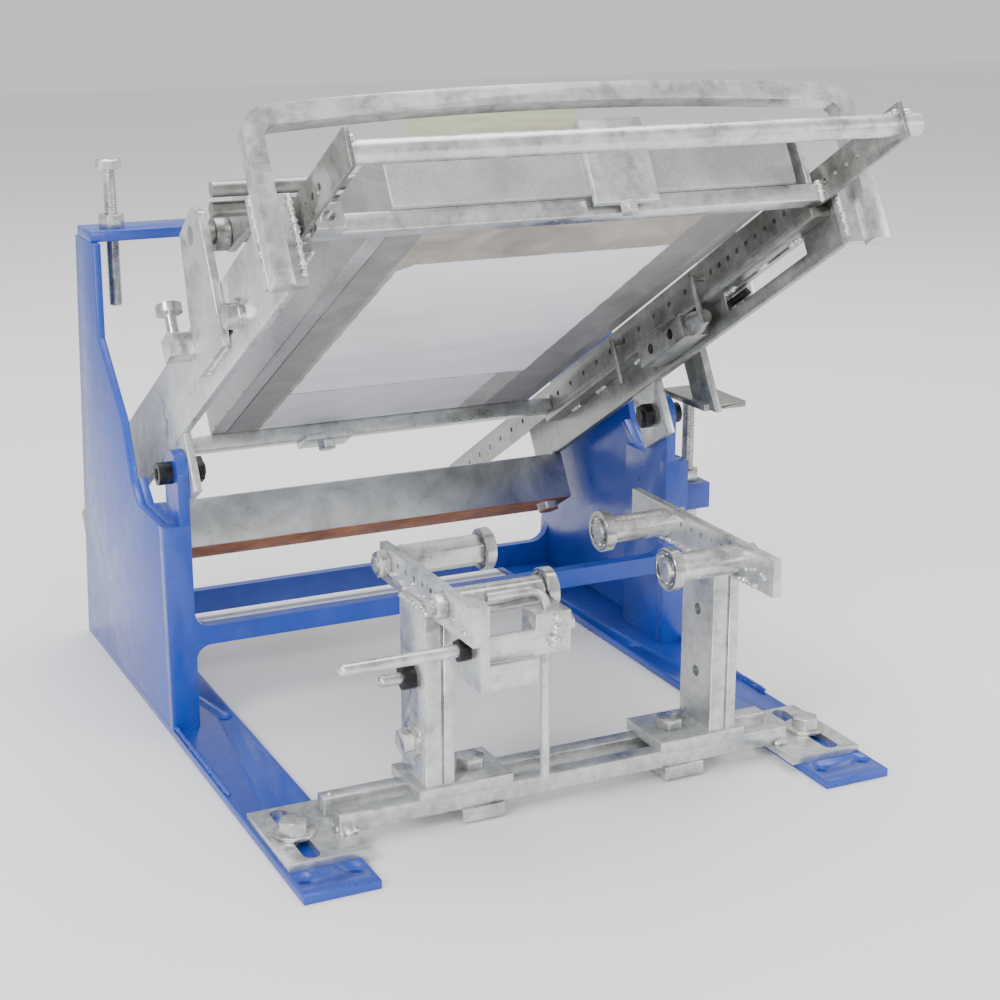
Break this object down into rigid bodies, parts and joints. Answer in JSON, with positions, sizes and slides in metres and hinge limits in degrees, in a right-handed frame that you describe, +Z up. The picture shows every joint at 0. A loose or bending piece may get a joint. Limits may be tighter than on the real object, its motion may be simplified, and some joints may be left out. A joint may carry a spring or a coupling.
{
  "type": "manual cylindrical screen printing press",
  "caption": "Manual benchtop screen printing press for cylindrical objects: blue base, tilting zinc head with sliding screen frame and swinging squeegee, bearing rollers on adjustable posts.",
  "frame": {"origin": "on the bench, at the centre of the four-hole bench bolt pattern in the two feet", "axes": "+Z up from the bench; +X to the operator's right along the tilt axis; -Y towards the operator"},
  "size_m": [0.461, 0.6812, 0.4651],
  "materials": {
    "blue_paint": "semi-gloss blue enamel",
    "zinc_steel": "zinc plated, mottled and lightly worn",
    "zinc_dark": "dull zinc plated",
    "weight_steel": "zinc plated front, rusty brown underside",
    "fasteners": "zinc plated hardware",
    "black_hardware": "black oxide",
    "bearing_steel": "ground bearing steel",
    "frame_aluminium": "mill finish, stained inside",
    "mesh_fabric": "fine white screen mesh with coated edge",
    "blade_rubber": "dull rubber",
    "grip_cream": "cream painted wood, worn"
  },
  "bodies": {
    "base": {"foot_left": "blue_paint", "foot_right": "blue_paint", "side_plate_left": "blue_paint", "side_plate_right": "blue_paint", "ear_plates": "blue_paint", "front_yoke": "blue_paint", "rear_crossbar": "blue_paint", "stop_arm": "blue_paint", "stop_lug": "blue_paint", "stop_nuts": "fasteners", "pivot_screws": "black_hardware", "rail_bolts": "fasteners"},
    "print_stop": {"print_stop_bolt": "fasteners"},
    "tilt_stop": {"tilt_stop_stud": "fasteners"},
    "rail": {"rail_bars": "zinc_steel", "rail_brackets": "zinc_steel"},
    "left_post": {"post_left": "zinc_steel", "post_clamp_left": "fasteners", "roller_carrier_left": "zinc_steel", "roller_standoffs_left": "fasteners", "post_side_bolts": "fasteners", "black_nuts": "black_hardware", "register_bracket": "zinc_steel", "register_block": "zinc_steel"},
    "right_post": {"post_right": "zinc_steel", "post_clamp_right": "fasteners", "roller_carrier_right": "zinc_steel", "roller_standoffs_right": "fasteners"},
    "roller_front_left": {"bearing_front_left": "bearing_steel"},
    "roller_rear_left": {"bearing_rear_left": "bearing_steel"},
    "roller_front_right": {"bearing_front_right": "bearing_steel"},
    "roller_rear_right": {"bearing_rear_right": "bearing_steel"},
    "register_stop": {"register_rod": "zinc_steel"},
    "register_slide": {"register_pin": "zinc_steel"},
    "head": {"arm_left": "zinc_steel", "arm_right": "zinc_dark", "guide_bars": "zinc_dark", "hinge_plates": "zinc_steel", "counterweight": "weight_steel", "handle": "zinc_steel", "tilt_stop_foot": "zinc_dark", "carriage_stop_block": "zinc_dark", "arm_adjusters": "fasteners", "shaft_brackets": "zinc_steel", "squeegee_shaft": "zinc_dark", "return_spring": "zinc_dark"},
    "squeegee": {"swing_arms": "zinc_steel", "squeegee_crossbars": "zinc_dark", "squeegee_clamps": "zinc_steel", "squeegee_plate": "zinc_dark", "squeegee_blade": "blade_rubber", "squeegee_grip": "grip_cream"},
    "carriage": {"carriage_strips": "zinc_dark", "carriage_rod": "zinc_steel", "carriage_bars": "zinc_steel", "carriage_stop_pins": "zinc_dark", "screen_clamps": "zinc_steel", "screen_frame": "frame_aluminium", "screen_mesh": "mesh_fabric"}
  },
  "joints": [
    {"name": "head_tilt", "type": "hinge", "parent": "base", "child": "head", "pos_m": [0, 0.138, 0.192], "axis": [1, 0, 0], "range_deg": [0, 34]},
    {"name": "screen_slide", "type": "slide", "parent": "head", "child": "carriage", "axis": [0, -0.8616, 0.5075], "range_m": [0, 0.04]},
    {"name": "squeegee_swing", "type": "hinge", "parent": "head", "child": "squeegee", "pos_m": [0, 0.07108, 0.36605], "axis": [-1, 0, 0], "range_deg": [0, 25]},
    {"name": "rail_slide", "type": "slide", "parent": "base", "child": "rail", "axis": [0, 1, 0], "range_m": [-0.028, 0.028]},
    {"name": "left_post_slide", "type": "slide", "parent": "rail", "child": "left_post", "axis": [1, 0, 0], "range_m": [-0.04, 0.035]},
    {"name": "right_post_slide", "type": "slide", "parent": "rail", "child": "right_post", "axis": [1, 0, 0], "range_m": [-0.035, 0.04]},
    {"name": "roller_front_left_spin", "type": "hinge", "parent": "left_post", "child": "roller_front_left", "pos_m": [-0.036, -0.11725, 0.162], "axis": [1, 0, 0], "continuous": true},
    {"name": "roller_rear_left_spin", "type": "hinge", "parent": "left_post", "child": "roller_rear_left", "pos_m": [-0.036, -0.02725, 0.162], "axis": [1, 0, 0], "continuous": true},
    {"name": "roller_front_right_spin", "type": "hinge", "parent": "right_post", "child": "roller_front_right", "pos_m": [0.054, -0.11725, 0.162], "axis": [1, 0, 0], "continuous": true},
    {"name": "roller_rear_right_spin", "type": "hinge", "parent": "right_post", "child": "roller_rear_right", "pos_m": [0.054, -0.02725, 0.162], "axis": [1, 0, 0], "continuous": true},
    {"name": "register_stop_height", "type": "slide", "parent": "left_post", "child": "register_stop", "axis": [0, 0, 1], "range_m": [0, 0.02]},
    {"name": "register_pin_slide", "type": "slide", "parent": "left_post", "child": "register_slide", "axis": [1, 0, 0], "range_m": [-0.02, 0.018]},
    {"name": "print_stop_height", "type": "slide", "parent": "base", "child": "print_stop", "axis": [0, 0, 1], "range_m": [0, 0.03]},
    {"name": "tilt_stop_height", "type": "slide", "parent": "base", "child": "tilt_stop", "axis": [0, 0, 1], "range_m": [-0.02, 0]}
  ]
}
